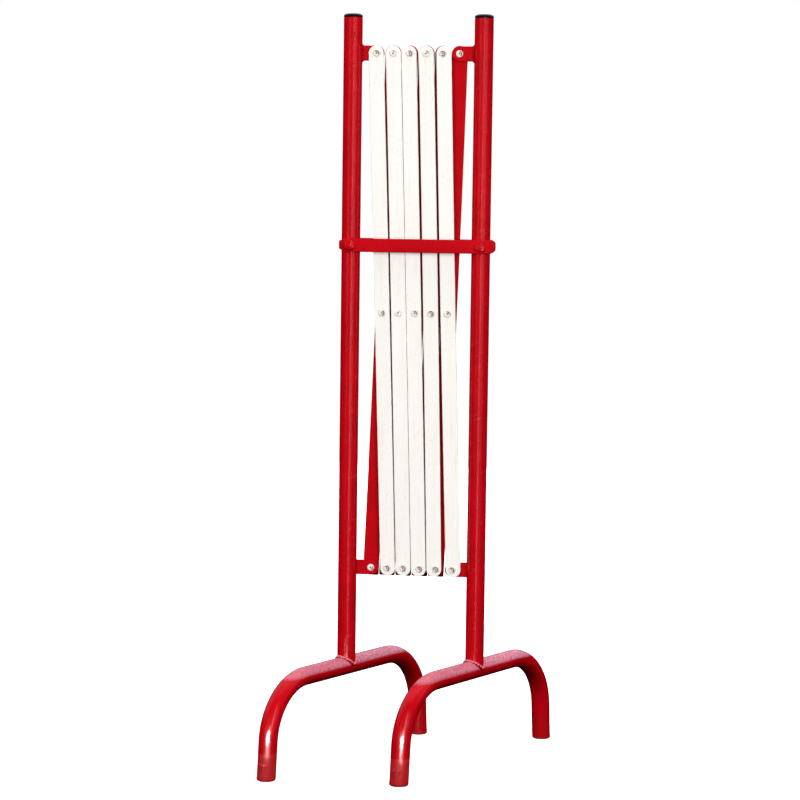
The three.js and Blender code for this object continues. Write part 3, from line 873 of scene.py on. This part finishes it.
# ---------------------------------------------------------------- retaining clip
def clip_band():
    """The band: a rolled eye round the left post, and two long arms with flared ends. It is narrower
    at the eye's far side and at the tips."""
    low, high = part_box("clip")
    left, right = POST_X["left"], POST_X["right"]
    inner = TUBE_RADIUS + CLIP_CLEARANCE
    outer = inner + CLIP_THICKNESS
    flare_start = right + TUBE_RADIUS
    tip = flare_start + CLIP_OVERRUN
    steps = 6

    def flare(offset, sign):
        points = []
        for i in range(steps + 1):
            share = i / steps
            points.append((flare_start + (tip - flare_start) * share,
                           sign * (offset + CLIP_FLARE * share**1.6)))
        return points

    outline = [(left, -outer)] + flare(outer, -1) + flare(inner, -1)[::-1]
    outline += arc(left, 0, inner, 270, 90, 40)
    outline += flare(inner, 1) + flare(outer, 1)[::-1]
    outline += arc(left, 0, outer, 90, 270, 40)[:-1]
    middle_z = (low.z + high.z) / 2

    def to_world(along, up, out):
        return Vector((along, up, middle_z + out))

    verts, faces, _ = plate([outline], high.z - low.z, 1.0 * MM, to_world)
    for v in verts:
        past_eye = max(0, left - v.x) / outer
        past_post = max(0, v.x - flare_start) / CLIP_OVERRUN
        width = 1 - EYE_NARROWING * past_eye**1.6 - TIP_NARROWING * past_post**2
        v.z = middle_z + (v.z - middle_z) * width
    return finish_mesh("clip.fine", verts, faces)


def dome_screw(node):
    """Painted round-head screw in the clip's front arm."""
    low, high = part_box(node)
    centre = (low + high) / 2
    radius = (high.x - low.x) / 2
    face = low.y + 2.6 * MM
    shank = 2.2 * MM
    profile = [(0, low.y)]
    for i in range(1, 11):
        a = math.pi / 2 * i / 10
        profile.append((radius * math.sin(a), face - (face - low.y) * math.cos(a)))
    profile += [(radius - 0.2 * MM, face + 0.15 * MM), (shank, face + 0.15 * MM), (shank, high.y),
                (0, high.y)]
    verts, faces = turned(profile, (centre.x, 0, centre.z), axis="Y", sides=36)
    return finish_mesh(f"{node}.fine", verts, faces)


def clip_boss(side):
    """Uneven lump of weld and thick paint on the clip's front arm, round the root of its screw."""
    screw = box_centre(f"clip_screw_{side}")
    face = -(TUBE_RADIUS + CLIP_CLEARANCE + CLIP_THICKNESS)
    sunk = face + 0.8 * MM
    profile = [(0, sunk), (CLIP_BOSS_RADIUS, sunk)]
    steps = 8
    for i in range(steps + 1):
        a = math.pi / 2 * i / steps
        profile.append((CLIP_BOSS_RADIUS * math.cos(a) ** 0.6, face - CLIP_BOSS_HEIGHT * math.sin(a)))
    profile[-1] = (0, face - CLIP_BOSS_HEIGHT)
    verts, faces = turned(profile, (0, 0, 0), axis="Y", sides=48)
    shaped = []
    for v in verts:
        around = math.atan2(v.z, v.x)
        lump = 1 + 0.09 * math.sin(3 * around + 40 * screw.x) + 0.05 * math.sin(7 * around + 1)
        rise = 1 + 0.12 * math.sin(5 * around + 2) * min(1, math.hypot(v.x, v.z) / CLIP_BOSS_RADIUS)
        shaped.append(Vector((screw.x + v.x * lump, face + (v.y - face) * rise, screw.z + v.z * lump)))
    return finish_mesh(f"clip_boss_{side}", shaped, faces, smooth_angle=60)


# ---------------------------------------------------------------- the assembly
for side, sign in SIDES:
    facing = -sign
    post_body = body_of_node(f"{side}_post")
    stand_in(f"{side}_post", post_tube(side, facing), red_paint)
    stand_in(f"{side}_foot", foot_tube(side), red_paint)
    stand_in(f"{side}_cap", post_cap(side), black_plastic)
    stand_in(f"{side}_slider", slider_block(side, facing), nylon)
    place(f"{side}_foot_weld", foot_weld(side), red_paint, post_body)
    for end_name, end in (("front", -1), ("back", 1)):
        stand_in(f"{side}_{end_name}_plug", leg_plug(side, end), red_plastic)
        weld = ear_weld(side, facing, end)
        place(f"{side}_ear_weld_{end_name}", weld, red_paint, post_body)
    for row, rooted in (("upper", True), ("lower", False)):
        ear = f"{side}_{row}_ear"
        stand_in(ear, ear_plate(ear, side, facing, rooted), red_plate_paint)

for i in range(CROSSINGS):
    front = f"front_slat_{i + 1}"
    back = f"back_slat_{i + 1}"
    front_bar = slat(front, top_pivots[i], low_pivots[i + 1], FRONT_BOWS[i], SLAT_WIDTH, False)
    back_bow = (0, BACK_BOWS[i], 0)
    back_bar = slat(back, top_pivots[i + 1], low_pivots[i], back_bow, BACK_SLAT_WIDTH, True)
    stand_in(front, front_bar, white_paint)
    stand_in(back, back_bar, red_slat_paint)

for node in sorted(frame["nodes"]):
    if "_rivet_" in node:
        stand_in(node, blind_rivet(node), rivet_zinc)
    elif "_spacer_" in node:
        stand_in(node, spacer_washer(node), spacer_zinc)
    elif node.startswith("clip_screw"):
        stand_in(node, dome_screw(node), red_paint)
stand_in("clip", clip_band(), red_plate_paint)
for side, _ in SIDES:
    place(f"clip_boss_{side}", clip_boss(side), red_paint, "clip")


# ---------------------------------------------------------------- stage, light and camera
def add_floor():
    """White floor, lit from within so that it runs into the white background."""
    reach = 30.0
    corners = [(-reach, -reach, 0), (reach, -reach, 0), (reach, reach, 0), (-reach, reach, 0)]
    mesh = bpy.data.meshes.new("floor")
    mesh.from_pydata(corners, [], [(0, 1, 2, 3)])
    floor = bpy.data.objects.new("floor", mesh)
    bpy.context.scene.collection.objects.link(floor)
    material, tree, shader, where = new_material(
        "floor_paper", Roughness=0.9, Specular_IOR_Level=0.0, Emission_Color=(1, 1, 1, 1),
        Emission_Strength=0.8,
    )
    tone = remap(tree, noise(tree, where, 3, 2), 0.3, 0.7)
    tree.links.new(blend_colours(tree, tone, (0.84, 0.84, 0.84, 1), (0.87, 0.87, 0.87, 1)),
                   shader.inputs["Base Color"])
    mesh.materials.append(material)
    floor.visible_diffuse = False
    floor.visible_glossy = False
    floor.visible_shadow = False


def add_area_light(name, position, target, size, radiance, seen_in):
    """A white softbox of a given radiance that faces a target. seen_in is diffuse or glossy: a diffuse
    one lights the paint and isn't mirrored in it, and a glossy one is only mirrored."""
    data = bpy.data.lights.new(name, "AREA")
    data.shape = "RECTANGLE"
    data.size, data.size_y = size
    data.energy = radiance * math.pi * size[0] * size[1]
    light = bpy.data.objects.new(name, data)
    bpy.context.scene.collection.objects.link(light)
    light.location = position
    light.rotation_euler = (Vector(position) - Vector(target)).to_track_quat("Z", "Y").to_euler()
    light.visible_camera = False
    light.visible_diffuse = seen_in == "diffuse"
    light.visible_glossy = seen_in == "glossy"
    return light


def add_world():
    """White for the camera, and a dim light from above on paint. Gloss mirrors a faint rosy backdrop
    behind the object and overhead, and darkness in front and low down."""
    world = bpy.data.worlds.new("studio")
    bpy.context.scene.world = world
    world.use_nodes = True
    tree = world.node_tree
    tree.nodes.clear()
    where = tree.nodes.new("ShaderNodeTexCoord").outputs["Generated"]
    direction = split(tree, where)
    above = remap(tree, direction["Z"], -0.25, 0.35, 0.04, 0.32)
    over_floor = remap(tree, direction["Z"], 0.20, 0.38)
    behind = remap(tree, direction["Y"], -0.35, 0.05, 0.0, BACKDROP_RADIANCE)
    backdrop = multiply(tree, over_floor, behind)
    path = tree.nodes.new("ShaderNodeLightPath")
    painted = add_node(tree, "Background", {"Color": (1, 1, 1, 1), "Strength": above})
    mirrored = add_node(tree, "Background", {"Color": (1.0, 0.84, 1.1, 1), "Strength": backdrop})
    seen = add_node(tree, "Background", {"Color": (1, 1, 1, 1), "Strength": 1.0})
    lit = add_node(tree, "MixShader", {
        0: path.outputs["Is Glossy Ray"], 1: painted.outputs[0], 2: mirrored.outputs[0],
    })
    both = add_node(tree, "MixShader", {
        0: path.outputs["Is Camera Ray"], 1: lit.outputs[0], 2: seen.outputs[0],
    })
    output = tree.nodes.new("ShaderNodeOutputWorld")
    tree.links.new(both.outputs[0], output.inputs["Surface"])


def add_lights():
    """Soft fills from both sides of the front, from overhead and from behind. A narrow strip draws a
    line down each post, and a low card shines on the front leg of each foot."""
    middle = (0, 0, 0.5)
    for name, x, y in (("left_fill", -1.75, -2.8), ("right_fill", 2.05, -2.6)):
        add_area_light(name, (x, y, 1.0), middle, (1.2, 1.8), 8.8, "diffuse")
    add_area_light("top_fill", (0.2, 0.1, 3.0), middle, (2.4, 2.4), 3.2, "diffuse")
    add_area_light("back_fill", (0.4, 3.2, 1.0), middle, (1.8, 1.8), 6.0, "diffuse")
    add_area_light("post_strip", (0.3, -1.2, 0.5), middle, (0.09, 1.3), 10.0, "glossy")
    for side, sign in SIDES:
        leg_end = Vector((POST_X[side], 0, 0)) - FOOT_DIRECTION * FOOT_HALF_LENGTH
        card = leg_end + Vector((0.02 * sign, -0.22, 0.07))
        target = leg_end + Vector((0, 0, 0.055))
        light = add_area_light(f"{side}_leg_card", card, target, (0.11, 0.05), 18.0, "glossy")
        light.data.spread = math.radians(32)


def add_camera():
    """Level with the upper part of the barrier, a little to its right and looking slightly down."""
    place_of_camera = Vector((0.3587, -3.5, 0.8109))
    yaw, pitch, roll = (math.radians(a) for a in (6.149, 5.253, 0.738))
    focal_to_width = 3.2983
    level = math.cos(pitch)
    forward = Vector((-math.sin(yaw) * level, math.cos(yaw) * level, -math.sin(pitch)))
    level_right = Vector((math.cos(yaw), math.sin(yaw), 0))
    level_up = level_right.cross(forward)
    right = level_right * math.cos(roll) + level_up * math.sin(roll)
    up = level_up * math.cos(roll) - level_right * math.sin(roll)
    data = bpy.data.cameras.new("camera")
    data.sensor_width = 36
    data.lens = focal_to_width * data.sensor_width
    camera = bpy.data.objects.new("camera", data)
    bpy.context.scene.collection.objects.link(camera)
    axes = Matrix((right, up, -forward)).transposed()
    camera.matrix_world = Matrix.Translation(place_of_camera) @ axes.to_4x4()
    bpy.context.scene.camera = camera


add_floor()
add_world()
add_lights()
add_camera()
bpy.context.scene.view_settings.view_transform = "Standard"
